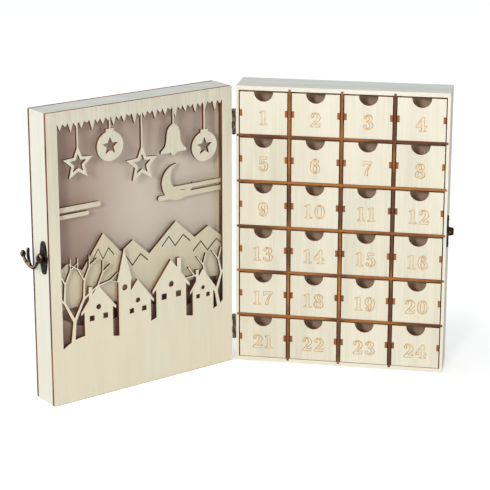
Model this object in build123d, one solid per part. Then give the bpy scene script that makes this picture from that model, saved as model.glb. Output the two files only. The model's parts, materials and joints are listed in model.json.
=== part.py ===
from build123d import *
import math
import os

# A wooden advent calendar that opens like a book: a case of numbered drawers, and a picture cover
# that is hinged to its left side. Lengths are in millimetres and angles in degrees.
# The origin is the centre of the case's underside, the drawers face -Y and Z is up.

# Drawer case
case_width = 220.0
case_height = 300.0
case_depth = 43.0
side_wall = 3.0
end_board = 4.5
case_back_ply = 3.0
drawer_columns = 4
drawer_rows = 6
partition_ply = 2.5
side_groove = 2.0
board_groove = 2.2
lap_share = 0.5
slip = 0.1

# Drawers
drawer_ply = 2.5
drawer_side_gap = 1.1
drawer_top_gap = 1.6
drawer_floor_gap = 0.25
drawer_recess = 0.6
drawer_back_gap = 1.4
finger_radius = 10.0
tab_height = 6.7

# Picture cover
cover_depth = 34.0
cover_ply = 3.0
cover_rail = 5.0
cover_corner = 1.5
cover_fold = 47.0
closing_gap = 0.6

# Picture: a pierced front panel, a pierced layer behind it and a plain backing
window_side = 12.4
window_top = 11.6
window_floor = 46.0
spacer_width = 3.0
layer_gap = 6.0
layer_ply = 3.0
layer_frame = 3.0
backing_gap = 8.0
backing_sheet = 2.0
stack_fit = 0.2
string_width = 1.6
cap_slot = 1.8
trunk_width = 5.2

# Snow bank of the front panel, across and up the window
bank_shares = ((0, 0.05), (0.18, 0.085), (0.38, 0.05), (0.6, 0.095), (0.82, 0.06), (1, 0.1))
bank_depth_share = 0.05

# Houses on the bank: middle, width, eaves, ridge and chimney side
house_shares = (
    (0.215, 0.17, 0.19, 0.27, -1),
    (0.665, 0.19, 0.215, 0.31, 1),
    (0.87, 0.135, 0.17, 0.245, -1),
)
eave_share = 0.12
roof_lift_share = 0.18
chimney_width_share = 0.13
chimney_place_share = 0.27
pane_share = 0.17
pane_place_share = 0.24

# Church: nave as a house, with a tower and its spire at the nave's left
nave_shares = (0.455, 0.16, 0.18, 0.26, 0)
tower_place_share = 0.375
tower_width_share = 0.075
tower_top_share = 0.29
spire_top_share = 0.43
spire_eave_share = 0.2
porthole_share = 0.22

# Bare trees: foot across the window, foot height, first length up the window, lean and fork orders
tree_shares = ((0.055, 0.03, 0.13, 6.0, 5), (0.985, 0.04, 0.11, -12.0, 4))
twig_length_share = 0.78
twig_width_share = 0.66
fork_turns = ((-24.0, 31.0), (-33.0, 21.0))

# Hangings: place across, drop to the middle, radius across the window, and form
hanging_shares = (
    (0.115, 0.175, 0.09, "star"),
    (0.305, 0.125, 0.078, "bauble"),
    (0.495, 0.225, 0.1, "star"),
    (0.69, 0.14, 0.08, "bell"),
    (0.885, 0.195, 0.08, "bauble"),
)
star_points = 5
star_waist_share = 0.45
star_hole_share = 0.56
bauble_hole_share = 0.62
bauble_cap_share = 0.3
bell_shares = ((0, 1), (0.46, 0.58), (0.56, -0.1), (0.98, -0.72))
bell_rim_share = 0.9
clapper_share = 0.2

# Icicle fringe under the window's top edge: lengths in turn, and the number of icicles
icicle_shares = (0.03, 0.018, 0.042, 0.022, 0.034, 0.014, 0.048, 0.02)
icicle_count = 32
icicle_root_share = 0.008

# Mountain ridge of the second layer, its snow caps, the hollows below it, clouds and moon
ridge_shares = (
    (-0.06, 0.33), (0.06, 0.4), (0.15, 0.36), (0.28, 0.5), (0.385, 0.405), (0.46, 0.445),
    (0.56, 0.37), (0.73, 0.49), (0.85, 0.4), (0.94, 0.44), (1.06, 0.36),
)
cap_level_share = 0.43
cap_drop_share = 0.085
cap_shares = ((-0.8, 1.15), (-0.4, 0.7), (-0.05, 1.25), (0.4, 0.75), (0.8, 1.15))
hollow_shares = ((-0.02, 0.2, 0.47, 0.17, 0.075), (0.53, 0.17, 1.02, 0.2, 0.085))
hollow_rise_share = 0.28
cloud_shares = (
    (0.62, 1.06, 0.6, 0.011), (0.68, 1.06, 0.632, 0.009),
    (-0.06, 0.27, 0.63, 0.011), (-0.06, 0.2, 0.6, 0.009),
)
moon_shares = (0.745, 0.66, 0.1)
moon_bite_shares = (0.34, 0.3, 0.8)

# Hinges
hinge_gap = 2.2
hinge_height = 27.0
hinge_shelf_margin = 12.9
knuckle_count = 4
knuckle_gap = 0.2
barrel_radius = 1.7
leaf_thickness = 0.8
leaf_width = 11.0
leaf_relief = 0.7
pin_radius = 0.8
pin_clearance = 0.05
pin_stand = 0.4

# Latch: a plate with a swinging hook on the cover, a plate with a knob on the case
latch_rise = 4.0
plate_height = 34.0
plate_width = 14.0
plate_end_radius = 4.0
plate_thickness = 1.8
plate_edge = 0.3
plate_inset = 0.4
catch_width = 11.0
catch_inset = 0.4
hook_stand = 5.0
hook_wire = 1.6
hook_ring = 3.6
hook_droop = 24.0
hook_play = 0.3
claw_turn = 44.0
handle_radius = 26.0
handle_turn = 40.0
curl_radius = 9.0
curl_turn = 50.0
handle_end = 2.7
rivet_play = 0.25
rivet_head = 1.1
rivet_head_radius = 3.2
boss_radius = 3.0
boss_clearance = 0.3
knob_radius = 3.8
knob_foot = 4.8
knob_length = 5.2
knob_edge = 0.6

# Derived places of the case
half_width = case_width / 2
front_y = -case_depth / 2
back_y = case_depth / 2
shelf_back_y = back_y - case_back_ply
lap_y = front_y + (shelf_back_y - front_y) * lap_share
bay_width = (case_width - 2 * side_wall - (drawer_columns - 1) * partition_ply) / drawer_columns
bay_height = (case_height - 2 * end_board - (drawer_rows - 1) * partition_ply) / drawer_rows
bay_left = [-half_width + side_wall + c * (bay_width + partition_ply) for c in range(drawer_columns)]
bay_floor = [end_board + r * (bay_height + partition_ply) for r in range(drawer_rows)]
divider_x = [x - partition_ply / 2 for x in bay_left[1:]]
shelf_z = [z - partition_ply for z in bay_floor[1:]]

# Derived sizes of a drawer
drawer_width = bay_width - 2 * drawer_side_gap
drawer_height = bay_height - drawer_floor_gap - drawer_top_gap
drawer_front_y = front_y + drawer_recess
drawer_back_y = shelf_back_y - drawer_back_gap

# Derived places of the cover, drawn unfolded in line with the case
hinge_x = -half_width - hinge_gap
hinge_y = front_y - closing_gap / 2
hinge_axis = Axis((hinge_x, hinge_y, 0), (0, 0, 1))
cover_right = hinge_x - hinge_gap
cover_left = cover_right - case_width
rail_front_y = front_y + cover_ply
rail_back_y = front_y + cover_depth - cover_ply
window_left = cover_left + window_side
window_right = cover_right - window_side
window_head = case_height - window_top
window_width = window_right - window_left
window_height = window_head - window_floor
stack_left = cover_left + cover_rail
stack_right = cover_right - cover_rail
stack_foot = cover_rail
stack_head = case_height - cover_rail
layer_y = rail_front_y + layer_gap
backing_y = layer_y + layer_ply + backing_gap

# Derived places of the hinges and the latch
hinge_z = (shelf_z[0] - hinge_shelf_margin, shelf_z[-1] + partition_ply + hinge_shelf_margin)
latch_z = case_height / 2 + latch_rise
latch_y = rail_front_y + plate_inset + plate_width / 2
catch_y = front_y + catch_inset + catch_width / 2
plate_lobe_rise = plate_height / 2 - plate_end_radius
knob_reach = (latch_y - hinge_y) + (catch_y - hinge_y)
knob_taper = (knob_foot - knob_radius) / knob_length
knob_at_hook = knob_foot - knob_taper * (hook_stand - hook_wire - plate_thickness)
slot_radius = knob_at_hook + hook_play + hook_wire
rivet_radius = hook_ring - hook_wire - rivet_play


def upright(y):
    """Drawing plane across X and Z, at one depth."""
    return Plane(origin=(0, y, 0), x_dir=(1, 0, 0), z_dir=(0, -1, 0))


def sideways(x):
    """Drawing plane across Y and Z, at one place along X."""
    return Plane(origin=(x, 0, 0), x_dir=(0, 1, 0), z_dir=(1, 0, 0))


def rect(a0, a1, b0, b1):
    """Rectangle between two corners."""
    return Pos((a0 + a1) / 2, (b0 + b1) / 2) * Rectangle(a1 - a0, b1 - b0)


def outline(points):
    """Face inside a closed run of straight lines."""
    return make_face(Polyline(*points, close=True))


def board_upright(sketch, y, thickness):
    """Board cut from an upright drawing, from its front face backwards."""
    return extrude(upright(y) * sketch, amount=thickness, dir=(0, 1, 0))


def board_sideways(sketch, x, thickness):
    """Board cut from a sideways drawing, centred on its plane."""
    return extrude(sideways(x - thickness / 2) * sketch, amount=thickness, dir=(1, 0, 0))


def board_level(sketch, z, thickness):
    """Board cut from a level drawing, from its underside up."""
    return extrude(Pos(0, 0, z) * sketch, amount=thickness, dir=(0, 0, 1))


def peg(y, z, radius, x0, x1):
    """Round peg along X, also used to cut holes."""
    return extrude(sideways(x0) * Pos(y, z) * Circle(radius), amount=x1 - x0, dir=(1, 0, 0))


# Drawer case

def case_end_board(z, groove_z):
    """Top or bottom board, grooved on its inner face for the dividers."""
    board = board_level(rect(-half_width, half_width, front_y, back_y), z, end_board)
    for x in divider_x:
        half = (partition_ply + slip) / 2
        board -= board_level(rect(x - half, x + half, front_y, shelf_back_y), groove_z, board_groove)
    return board


def case_side(side):
    """Side wall, +1 right or -1 left, grooved for the shelves from the front edge."""
    middle = side * (half_width - side_wall / 2)
    wall = board_sideways(rect(front_y, back_y, end_board, case_height - end_board), middle, side_wall)
    groove_x = side * (half_width - side_wall + side_groove / 2)
    for z in shelf_z:
        groove = rect(front_y, shelf_back_y, z, z + partition_ply + slip)
        wall -= board_sideways(groove, groove_x, side_groove)
    return wall


def case_back():
    """Back panel let in between the four walls."""
    inner = half_width - side_wall
    face = rect(-inner, inner, end_board, case_height - end_board)
    return board_upright(face, shelf_back_y, case_back_ply)


def shelf(z):
    """Shelf with slots from the back that the dividers' rear halves pass through."""
    reach = half_width - side_wall + side_groove
    sketch = rect(-reach, reach, front_y, shelf_back_y)
    for x in divider_x:
        half = (partition_ply + slip) / 2
        sketch -= rect(x - half, x + half, lap_y, shelf_back_y)
    return board_level(sketch, z, partition_ply)


def divider(x):
    """Divider with slots from the front that the shelves' front halves pass through."""
    foot = end_board - board_groove
    sketch = rect(front_y, shelf_back_y, foot, case_height - foot)
    for z in shelf_z:
        sketch -= rect(front_y, lap_y, z, z + partition_ply + slip)
    return board_sideways(sketch, x, partition_ply)


# Drawers, made once around x = 0 on z = 0 and then set into the bays

def drawer_front():
    """Front with a half-round finger notch and edge notches for the sides' tabs."""
    half = drawer_width / 2
    tab = (tab_height + slip) / 2
    sketch = rect(-half, half, 0, drawer_height) - Pos(0, drawer_height) * Circle(finger_radius)
    for edge in (-half, half - drawer_ply):
        sketch -= rect(edge, edge + drawer_ply, drawer_height / 2 - tab, drawer_height / 2 + tab)
    return board_upright(sketch, drawer_front_y, drawer_ply)


def drawer_side(side):
    """Side with a tab through the front."""
    middle = drawer_height / 2
    tab = tab_height / 2
    sketch = rect(drawer_front_y + drawer_ply, drawer_back_y, 0, drawer_height)
    sketch += rect(drawer_front_y, drawer_front_y + drawer_ply, middle - tab, middle + tab)
    return board_sideways(sketch, side * (drawer_width - drawer_ply) / 2, drawer_ply)


def drawer_back():
    """Back glued in between the sides."""
    half = drawer_width / 2 - drawer_ply
    return board_upright(rect(-half, half, 0, drawer_height), drawer_back_y - drawer_ply, drawer_ply)


def drawer_floor():
    """Floor let in between the four walls."""
    half = drawer_width / 2 - drawer_ply
    face = rect(-half, half, drawer_front_y + drawer_ply, drawer_back_y - drawer_ply)
    return board_level(face, 0, drawer_ply)


def drawer_pieces():
    """The five boards of one drawer."""
    return [drawer_front(), drawer_side(-1), drawer_side(1), drawer_back(), drawer_floor()]


# Picture of the cover

def across(u):
    """Place along X of a share of the window's width."""
    return window_left + u * window_width


def up(v):
    """Height of a share of the window's height."""
    return window_floor + v * window_height


def spots(shares):
    """Points of the window from pairs of shares."""
    return [(across(u), up(v)) for u, v in shares]


def snow_bank():
    """Rolling bank that everything on the front panel stands on."""
    crest = Spline(*spots(bank_shares))
    foot = up(-bank_depth_share)
    base = Polyline(crest @ 1, (window_right, foot), (window_left, foot), crest @ 0)
    return make_face(crest + base)


def house(middle, width, eaves, ridge, chimney):
    """Gabled house with a lifted snow roof, and a chimney on one side if it has one."""
    x = across(middle)
    span = width * window_width
    half = span / 2
    over = half + span * eave_share
    lift = span * roof_lift_share
    eave_z = up(eaves)
    ridge_z = up(ridge)
    foot = up(-bank_depth_share)
    left, right = x - half, x + half
    walls = outline([(left, foot), (right, foot), (right, eave_z), (x, ridge_z), (left, eave_z)])
    roof = outline([
        (x - over, eave_z - lift / 2), (x - over, eave_z), (x, ridge_z + lift), (x + over, eave_z),
        (x + over, eave_z - lift / 2), (x, ridge_z - lift),
    ])
    faces = [walls, roof]
    if chimney:
        stack_x = x + chimney * span * chimney_place_share
        stack = span * chimney_width_share / 2
        faces.append(rect(stack_x - stack, stack_x + stack, eave_z, ridge_z + lift))
    return faces


def house_panes(middle, width, eaves, ridge, chimney):
    """Two square panes of a house and a round one under its ridge."""
    x = across(middle)
    span = width * window_width
    pane = span * pane_share / 2
    z = up(eaves) - span * pane_place_share
    holes = [Pos(x + s * span * pane_place_share, z) * Rectangle(2 * pane, 2 * pane) for s in (-1, 1)]
    holes.append(Pos(x, up(eaves) + pane) * Circle(pane))
    return holes


def tower():
    """Church tower with its spire."""
    x = across(tower_place_share)
    half = tower_width_share * window_width / 2
    over = half * (1 + spire_eave_share)
    top = up(tower_top_share)
    body = rect(x - half, x + half, up(-bank_depth_share), top)
    return [body, outline([(x - over, top), (x + over, top), (x, up(spire_top_share))])]


def tower_porthole():
    """Round opening near the tower's top."""
    width = tower_width_share * window_width
    return Pos(across(tower_place_share), up(tower_top_share) - width / 2) * Circle(width * porthole_share)


def branch(x, z, heading, length, width, order):
    """Tapered branch and its forks. The heading is counted from straight up, towards +X."""
    turn = math.radians(heading)
    along = (math.sin(turn), math.cos(turn))
    tip_width = width * twig_width_share
    tip = (x + along[0] * length, z + along[1] * length)
    root = (x - along[0] * width / 2, z - along[1] * width / 2)
    faces = [outline([
        (root[0] - along[1] * width / 2, root[1] + along[0] * width / 2),
        (tip[0] - along[1] * tip_width / 2, tip[1] + along[0] * tip_width / 2),
        (tip[0] + along[1] * tip_width / 2, tip[1] - along[0] * tip_width / 2),
        (root[0] + along[1] * width / 2, root[1] - along[0] * width / 2),
    ])]
    if order > 1:
        for fork in fork_turns[order % len(fork_turns)]:
            twig = length * twig_length_share
            faces += branch(*tip, heading + fork, twig, tip_width, order - 1)
    return faces


def star(x, z, radius):
    """Pointed star with one point up."""
    points = []
    for i in range(2 * star_points):
        angle = math.pi * i / star_points
        reach = radius if i % 2 == 0 else radius * star_waist_share
        points.append((x + reach * math.sin(angle), z + reach * math.cos(angle)))
    return outline(points)


def bell(x, z, radius):
    """Bell with a flared mouth and its clapper."""
    right = Spline(*[(x + u * radius, z + v * radius) for u, v in bell_shares])
    left = Spline(*[(x - u * radius, z + v * radius) for u, v in bell_shares])
    rim_z = z - bell_rim_share * radius
    rim = Polyline(right @ 1, (x + radius, rim_z), (x - radius, rim_z), left @ 1)
    return [make_face(right + rim + left), Pos(x, rim_z) * Circle(clapper_share * radius)]


def hanging(u, drop, size, form):
    """Ornament on a string from the window's top edge, as faces to add and faces to cut."""
    x = across(u)
    z = up(1 - drop)
    radius = size * window_width
    string = rect(x - string_width / 2, x + string_width / 2, z, window_head)
    if form == "star":
        return [string, star(x, z, radius)], [star(x, z, radius * star_hole_share)]
    if form == "bell":
        return [string] + bell(x, z, radius), []
    cap = Pos(x, z + radius) * Rectangle(2 * radius * bauble_cap_share, radius * bauble_cap_share)
    return [string, cap, Pos(x, z) * Circle(radius)], [star(x, z, radius * bauble_hole_share)]


def icicles():
    """Fringe of pointed icicles along the window's top edge."""
    step = 1 / icicle_count
    points = [(0, 1 + icicle_root_share), (0, 1)]
    for i in range(icicle_count):
        points.append(((i + 0.5) * step, 1 - icicle_shares[i % len(icicle_shares)]))
        points.append(((i + 1) * step, 1 - icicle_root_share / 2))
    points.append((1, 1 + icicle_root_share))
    return outline(spots(points))


def cover_sheet():
    """Outline of the cover with its corners rounded."""
    sheet = rect(cover_left, cover_right, 0, case_height)
    return fillet(sheet.vertices(), cover_corner)


def front_panel():
    """Pierced panel over the whole face of the cover."""
    whole = cover_sheet()
    sheet = whole - rect(window_left, window_right, window_floor, window_head)
    added = [snow_bank(), icicles()] + tower()
    cut = [tower_porthole()]
    for shares in house_shares + (nave_shares,):
        added += house(*shares)
        cut += house_panes(*shares)
    for foot, rise, length, lean, orders in tree_shares:
        added += branch(across(foot), up(rise), lean, length * window_height, trunk_width, orders)
    for shares in hanging_shares:
        faces, holes = hanging(*shares)
        added += faces
        cut += holes
    return board_upright((sheet + added - cut) & whole, front_y, cover_ply)


def ridge():
    """Mountain range that fills the lower part of the second layer."""
    foot = stack_foot + stack_fit
    points = spots(ridge_shares)
    return outline([(points[0][0], foot)] + points + [(points[-1][0], foot)])


def snow_cap(before, peak, after):
    """Zigzag slot under a peak, drawn inside the steeper of its two flanks."""
    x, z = peak
    drop = cap_drop_share * window_height
    flank = drop * min(abs((x - a) / (z - b)) for a, b in (before, after))
    line = [(x + u * flank, z - v * drop) for u, v in cap_shares]
    return outline(line + [(a, b - cap_slot) for a, b in reversed(line)])


def snow_caps():
    """Slots under all high peaks of the ridge."""
    line = spots(ridge_shares)
    runs = zip(line, line[1:], line[2:])
    return [snow_cap(*run) for run in runs if run[1][1] > max(run[0][1], run[2][1], up(cap_level_share))]


def hollow(u0, v0, u1, v1, sag):
    """Long hollow between two hills, open to the backing."""
    ends = spots(((u0, v0), (u1, v1)))
    middle = ((ends[0][0] + ends[1][0]) / 2, (ends[0][1] + ends[1][1]) / 2)
    depth = sag * window_height
    lower = ThreePointArc(ends[0], (middle[0], middle[1] - depth), ends[1])
    upper = ThreePointArc(ends[1], (middle[0], middle[1] + depth * hollow_rise_share), ends[0])
    return make_face(lower + upper)


def cloud(u0, u1, v, size):
    """Flat cloud with round ends."""
    height = 2 * size * window_height
    span = (u1 - u0) * window_width
    return Pos(across((u0 + u1) / 2), up(v)) * SlotOverall(span, height)


def scene_layer():
    """Second pierced layer, seen through the window of the front panel."""
    left, right = stack_left + stack_fit, stack_right - stack_fit
    foot, head = stack_foot + stack_fit, stack_head - stack_fit
    sheet = rect(left, right, foot, head)
    sheet -= rect(left + layer_frame, right - layer_frame, foot + layer_frame, head - layer_frame)
    moon_u, moon_v, moon_size = moon_shares
    moon_radius = moon_size * window_width
    bite_u, bite_v, bite_size = moon_bite_shares
    bite = Pos(bite_u * moon_radius, bite_v * moon_radius) * Circle(bite_size * moon_radius)
    moon = Pos(across(moon_u), up(moon_v)) * (Circle(moon_radius) - bite)
    added = [ridge(), moon] + [cloud(*shares) for shares in cloud_shares]
    cut = snow_caps() + [hollow(*shares) for shares in hollow_shares]
    inside = rect(left, right, foot, head)
    return board_upright((sheet + added - cut) & inside, layer_y, layer_ply)


# Body of the cover

def cover_rail_level(z):
    """Top or bottom rail, over the whole width."""
    return board_level(rect(cover_left, cover_right, rail_front_y, rail_back_y), z, cover_rail)


def cover_rail_upright(outer, inward):
    """Side rail between the level rails."""
    sketch = rect(rail_front_y, rail_back_y, cover_rail, case_height - cover_rail)
    return board_sideways(sketch, outer + inward * cover_rail / 2, cover_rail)


def spacer_strips(y, depth):
    """Four strips along the rails that hold two sheets apart."""
    left, right = stack_left, stack_right
    foot, head = stack_foot, stack_head
    wide = spacer_width
    strips = [
        rect(left, right, foot, foot + wide),
        rect(left, right, head - wide, head),
        rect(left, left + wide, foot + wide, head - wide),
        rect(right - wide, right, foot + wide, head - wide),
    ]
    return [board_upright(strip, y, depth) for strip in strips]


def backing():
    """Plain sheet behind the picture."""
    sides = (stack_left + stack_fit, stack_right - stack_fit)
    sketch = rect(*sides, stack_foot + stack_fit, stack_head - stack_fit)
    return board_upright(sketch, backing_y, backing_sheet)


def cover_back():
    """Plain panel over the back of the cover."""
    return board_upright(cover_sheet(), rail_back_y, cover_ply)


# Hinges

def knuckle_span(middle_z, index):
    """Lowest and highest point of one knuckle."""
    pitch = hinge_height / knuckle_count
    low = middle_z - hinge_height / 2 + index * pitch
    return low + knuckle_gap / 2, low + pitch - knuckle_gap / 2


def hinge_leaf(side, middle_z):
    """Leaf on the case, +1, or on the unfolded cover, -1, with every second knuckle."""
    wall_x = hinge_x + side * hinge_gap
    middle_x = wall_x - side * leaf_thickness / 2
    root_y = hinge_y + barrel_radius + leaf_relief
    low, high = middle_z - hinge_height / 2, middle_z + hinge_height / 2
    flat = rect(root_y, hinge_y + leaf_width, low, high)
    spans = [knuckle_span(middle_z, i) for i in range(0 if side > 0 else 1, knuckle_count, 2)]
    for bottom, top in spans:
        flat += rect(hinge_y, root_y, bottom, top)
    leaf = board_sideways(flat, middle_x, leaf_thickness)
    for bottom, top in spans:
        leaf += board_level(Pos(hinge_x, hinge_y) * Circle(barrel_radius), bottom, top - bottom)
    bore = Pos(hinge_x, hinge_y) * Circle(pin_radius + pin_clearance)
    return leaf - board_level(bore, low, hinge_height)


def hinge_pin(middle_z):
    """Pin through the knuckles that stands out a little at both ends."""
    length = hinge_height + 2 * pin_stand
    return board_level(Pos(hinge_x, hinge_y) * Circle(pin_radius), middle_z - length / 2, length)


# Latch

def plate_outline(y, width):
    """Oblong plate that narrows to its round ends."""
    middle = Circle(width / 2)
    lobes = [Pos(0, s * plate_lobe_rise) * Circle(plate_end_radius) for s in (-1, 1)]
    edges = [edge for face in [middle] + lobes for edge in face.edges()]
    return Pos(y, latch_z) * make_hull(edges)


def latch_plate():
    """Plate on the cover's free side, with a boss that the hook turns on."""
    face = sideways(cover_left) * plate_outline(latch_y, plate_width)
    plate = extrude(face, amount=plate_thickness, dir=(-1, 0, 0))
    plate = chamfer(plate.faces().sort_by(Axis.X)[0].edges(), plate_edge)
    boss_end = cover_left - hook_stand + hook_wire + boss_clearance
    plate += peg(latch_y, latch_z, boss_radius, boss_end, cover_left - plate_thickness)
    return plate - peg(latch_y, latch_z, rivet_radius + slip / 2, boss_end, cover_left)


def latch_rivet():
    """Rivet through the plate and the hook's ring."""
    head_x = cover_left - hook_stand - hook_wire - boss_clearance
    rivet = peg(latch_y, latch_z, rivet_radius, head_x, cover_left)
    head = peg(latch_y, latch_z, rivet_head_radius, head_x - rivet_head, head_x)
    return rivet + chamfer(head.faces().sort_by(Axis.X)[0].edges(), rivet_head / 2)


def bar_along(centre, radius, start, turn):
    """Flat bar of the hook along an arc, from one angle through a turn."""
    outer = CenterArc(centre, radius + hook_wire, start, turn)
    inner = CenterArc(centre, radius - hook_wire, start, turn)
    return make_face(outer + inner + Line(outer @ 0, inner @ 0) + Line(outer @ 1, inner @ 1))


def spot_around(centre, radius, angle):
    """Point at an angle on a circle."""
    turn = math.radians(angle)
    return centre[0] + radius * math.cos(turn), centre[1] + radius * math.sin(turn)


def latch_hook():
    """Cast hook: an eye, an arm to a slot that takes the knob, a claw and a handle with a round end."""
    slot = spot_around((0, 0), knob_reach, -hook_droop)
    lean = math.degrees(math.asin(slot_radius / knob_reach))
    arm_turn = -hook_droop - lean
    arm_length = math.sqrt(knob_reach ** 2 - slot_radius ** 2)
    grip_centre = (slot[0], slot[1] - slot_radius + handle_radius)
    curl_start = handle_turn - 90
    curl_centre = spot_around(grip_centre, handle_radius - curl_radius, curl_start)
    claw_radius = knob_reach + slot_radius
    shape = Circle(hook_ring + hook_wire)
    shape += Rot(0, 0, arm_turn) * rect(0, arm_length, -hook_wire, hook_wire)
    shape += bar_along(slot, slot_radius, arm_turn - 90, 90 + lean)
    shape += bar_along((0, 0), claw_radius, -hook_droop, claw_turn)
    shape += bar_along(grip_centre, handle_radius, -90, handle_turn)
    shape += bar_along(curl_centre, curl_radius, curl_start, curl_turn)
    shape += Pos(*spot_around((0, 0), claw_radius, claw_turn - hook_droop)) * Circle(hook_wire)
    shape += Pos(*spot_around(curl_centre, curl_radius, curl_start + curl_turn)) * Circle(handle_end)
    shape -= Circle(hook_ring - hook_wire)
    place = sideways(cover_left - hook_stand - hook_wire) * Pos(latch_y, latch_z)
    return extrude(place * shape, amount=2 * hook_wire, dir=(1, 0, 0))


def catch_plate():
    """Plate on the case's right side, with the knob that the hook holds."""
    face = sideways(half_width) * plate_outline(catch_y, catch_width)
    plate = extrude(face, amount=plate_thickness, dir=(1, 0, 0))
    plate = chamfer(plate.faces().sort_by(Axis.X)[-1].edges(), plate_edge)
    middle = half_width + plate_thickness + knob_length / 2
    seat = Plane(origin=(middle, catch_y, latch_z), z_dir=(1, 0, 0))
    knob = seat * Cone(knob_foot, knob_radius, knob_length)
    return plate + chamfer(knob.faces().sort_by(Axis.X)[-1].edges(), knob_edge)


# Assembly

def case_nodes():
    """Every fixed piece of the drawer case."""
    nodes = {
        "case_bottom": case_end_board(0, end_board - board_groove),
        "case_top": case_end_board(case_height - end_board, case_height - end_board),
        "case_left_wall": case_side(-1),
        "case_right_wall": case_side(1),
        "case_back_panel": case_back(),
        "catch_plate": catch_plate(),
    }
    for i, z in enumerate(shelf_z, 1):
        nodes[f"shelf_{i}"] = shelf(z)
    for i, x in enumerate(divider_x, 1):
        nodes[f"divider_{i}"] = divider(x)
    for name, z in zip(("lower", "upper"), hinge_z):
        nodes[f"hinge_{name}_case_leaf"] = hinge_leaf(1, z)
        nodes[f"hinge_{name}_pin"] = hinge_pin(z)
    return nodes


def drawer_nodes():
    """The drawers, numbered along each row from the top left."""
    pieces = drawer_pieces()
    nodes = {}
    for row in range(drawer_rows):
        for column in range(drawer_columns):
            number = row * drawer_columns + column + 1
            x = bay_left[column] + bay_width / 2
            z = bay_floor[drawer_rows - 1 - row] + drawer_floor_gap
            nodes[f"drawer_{number:02d}"] = [Pos(x, 0, z) * piece for piece in pieces]
    return nodes


def cover_nodes():
    """Every piece of the cover, unfolded in line with the case."""
    nodes = {
        "cover_front_panel": front_panel(),
        "cover_top_rail": cover_rail_level(case_height - cover_rail),
        "cover_bottom_rail": cover_rail_level(0),
        "cover_hinge_rail": cover_rail_upright(cover_right, -1),
        "cover_latch_rail": cover_rail_upright(cover_left, 1),
        "front_spacers": spacer_strips(rail_front_y, layer_gap),
        "scene_layer": scene_layer(),
        "rear_spacers": spacer_strips(layer_y + layer_ply, backing_gap),
        "backing_sheet": backing(),
        "cover_back_panel": cover_back(),
        "latch_plate": latch_plate(),
        "latch_rivet": latch_rivet(),
        "latch_hook": latch_hook(),
    }
    for name, z in zip(("lower", "upper"), hinge_z):
        nodes[f"hinge_{name}_cover_leaf"] = hinge_leaf(-1, z)
    return nodes


def pieces_of(node):
    """The separate pieces of a node."""
    return node if isinstance(node, list) else [node]


def assembly():
    """All nodes at rest, with the cover folded forward as it stands on a shelf."""
    nodes = case_nodes()
    nodes.update(drawer_nodes())
    for name, node in cover_nodes().items():
        nodes[name] = [piece.rotate(hinge_axis, cover_fold) for piece in pieces_of(node)]
    return nodes


os.makedirs("parts", exist_ok=True)
for name, node in assembly().items():
    pieces = pieces_of(node)
    export_step(pieces[0] if len(pieces) == 1 else Compound(children=pieces), f"parts/{name}.step")
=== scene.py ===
import json
import math

import bmesh
import bpy
from bpy.props import FloatProperty, FloatVectorProperty, PointerProperty
from mathutils import Matrix, Vector


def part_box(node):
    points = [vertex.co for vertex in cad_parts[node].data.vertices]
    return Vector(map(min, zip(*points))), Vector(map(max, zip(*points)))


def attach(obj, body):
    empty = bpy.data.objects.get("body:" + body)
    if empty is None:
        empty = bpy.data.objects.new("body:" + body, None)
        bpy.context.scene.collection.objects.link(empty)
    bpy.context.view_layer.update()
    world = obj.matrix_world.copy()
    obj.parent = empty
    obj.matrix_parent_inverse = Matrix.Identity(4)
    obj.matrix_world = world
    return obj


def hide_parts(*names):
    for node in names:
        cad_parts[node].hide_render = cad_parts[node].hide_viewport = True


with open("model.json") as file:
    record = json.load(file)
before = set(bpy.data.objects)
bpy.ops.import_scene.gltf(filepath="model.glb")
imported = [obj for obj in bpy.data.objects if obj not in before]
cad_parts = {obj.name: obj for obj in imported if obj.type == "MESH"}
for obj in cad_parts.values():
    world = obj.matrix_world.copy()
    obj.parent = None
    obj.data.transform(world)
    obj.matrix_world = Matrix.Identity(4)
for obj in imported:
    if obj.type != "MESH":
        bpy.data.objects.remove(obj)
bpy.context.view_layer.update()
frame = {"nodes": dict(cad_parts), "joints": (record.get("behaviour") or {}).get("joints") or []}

bl_info = {
    "name": "Wooden advent calendar",
    "version": (1, 0, 0),
    "blender": (4, 5, 0),
    "location": "View3D > Sidebar > Calendar",
    "description": "Dresses a drawer calendar and its picture cover in burnt-edge ply and antique fittings",
    "category": "Object",
}

JOINTS = {joint["name"]: joint for joint in frame["joints"]}
DRAWERS = sorted(name for name in frame["nodes"] if name.startswith("drawer_"))
UP = Vector((0.0, 0.0, 1.0))
MM = 0.001

# Fineness of round bars, with the turn in degrees of one step, and the distance at which points merge
BAR_SIDES = 16
FEWEST_STEPS = 6
STEP_TURN = 6.0
MERGE = 1e-7

# How far a mask reaches past the face that it ends on, and how square a face has to stand to an axis
FLUSH = 0.05 * MM
SQUARE = 0.5
EDGE_SPAN = (0.55, 0.8)

# Spacings of the patterns, as one length for all axes
PATCH_SPACING = 0.075
BURN_SPACING = 0.06
BURN_SPECK = 0.0016
CARD_CLOUD = 0.05
CARD_FIBRE = 0.0008
METAL_CLOUD = 0.0042
METAL_SPECK = 0.0007
LINE_SPACING = 0.004

# Starts of the patterns, so that no two of them fall together
BAND_START = 3.1
PATCH_START = 7.7
DRAWER_START = 1.3
BACK_START = 5.0
PICTURE_START = 8.0
LAYER_START = 12.0
SHELF_STEP = 2.7
DIVIDER_STEP = 4.3

# Spans of noise that the blends use, with what they turn into where it isn't nought to one
NOISE_SPAN = (0.36, 0.66)
LINE_SPAN = (0.35, 0.65)
FINE_SPAN = (0.3, 0.7)
PATCH_SPAN = (0.42, 0.68, 0.0, 0.75)
# Wear added on surfaces that face the hook's worn side: partly a worn finish, partly a painted highlight.
RUB_AND_HIGHLIGHT_SPAN = (0.55, 1.0, 0.0, 0.24)

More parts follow.
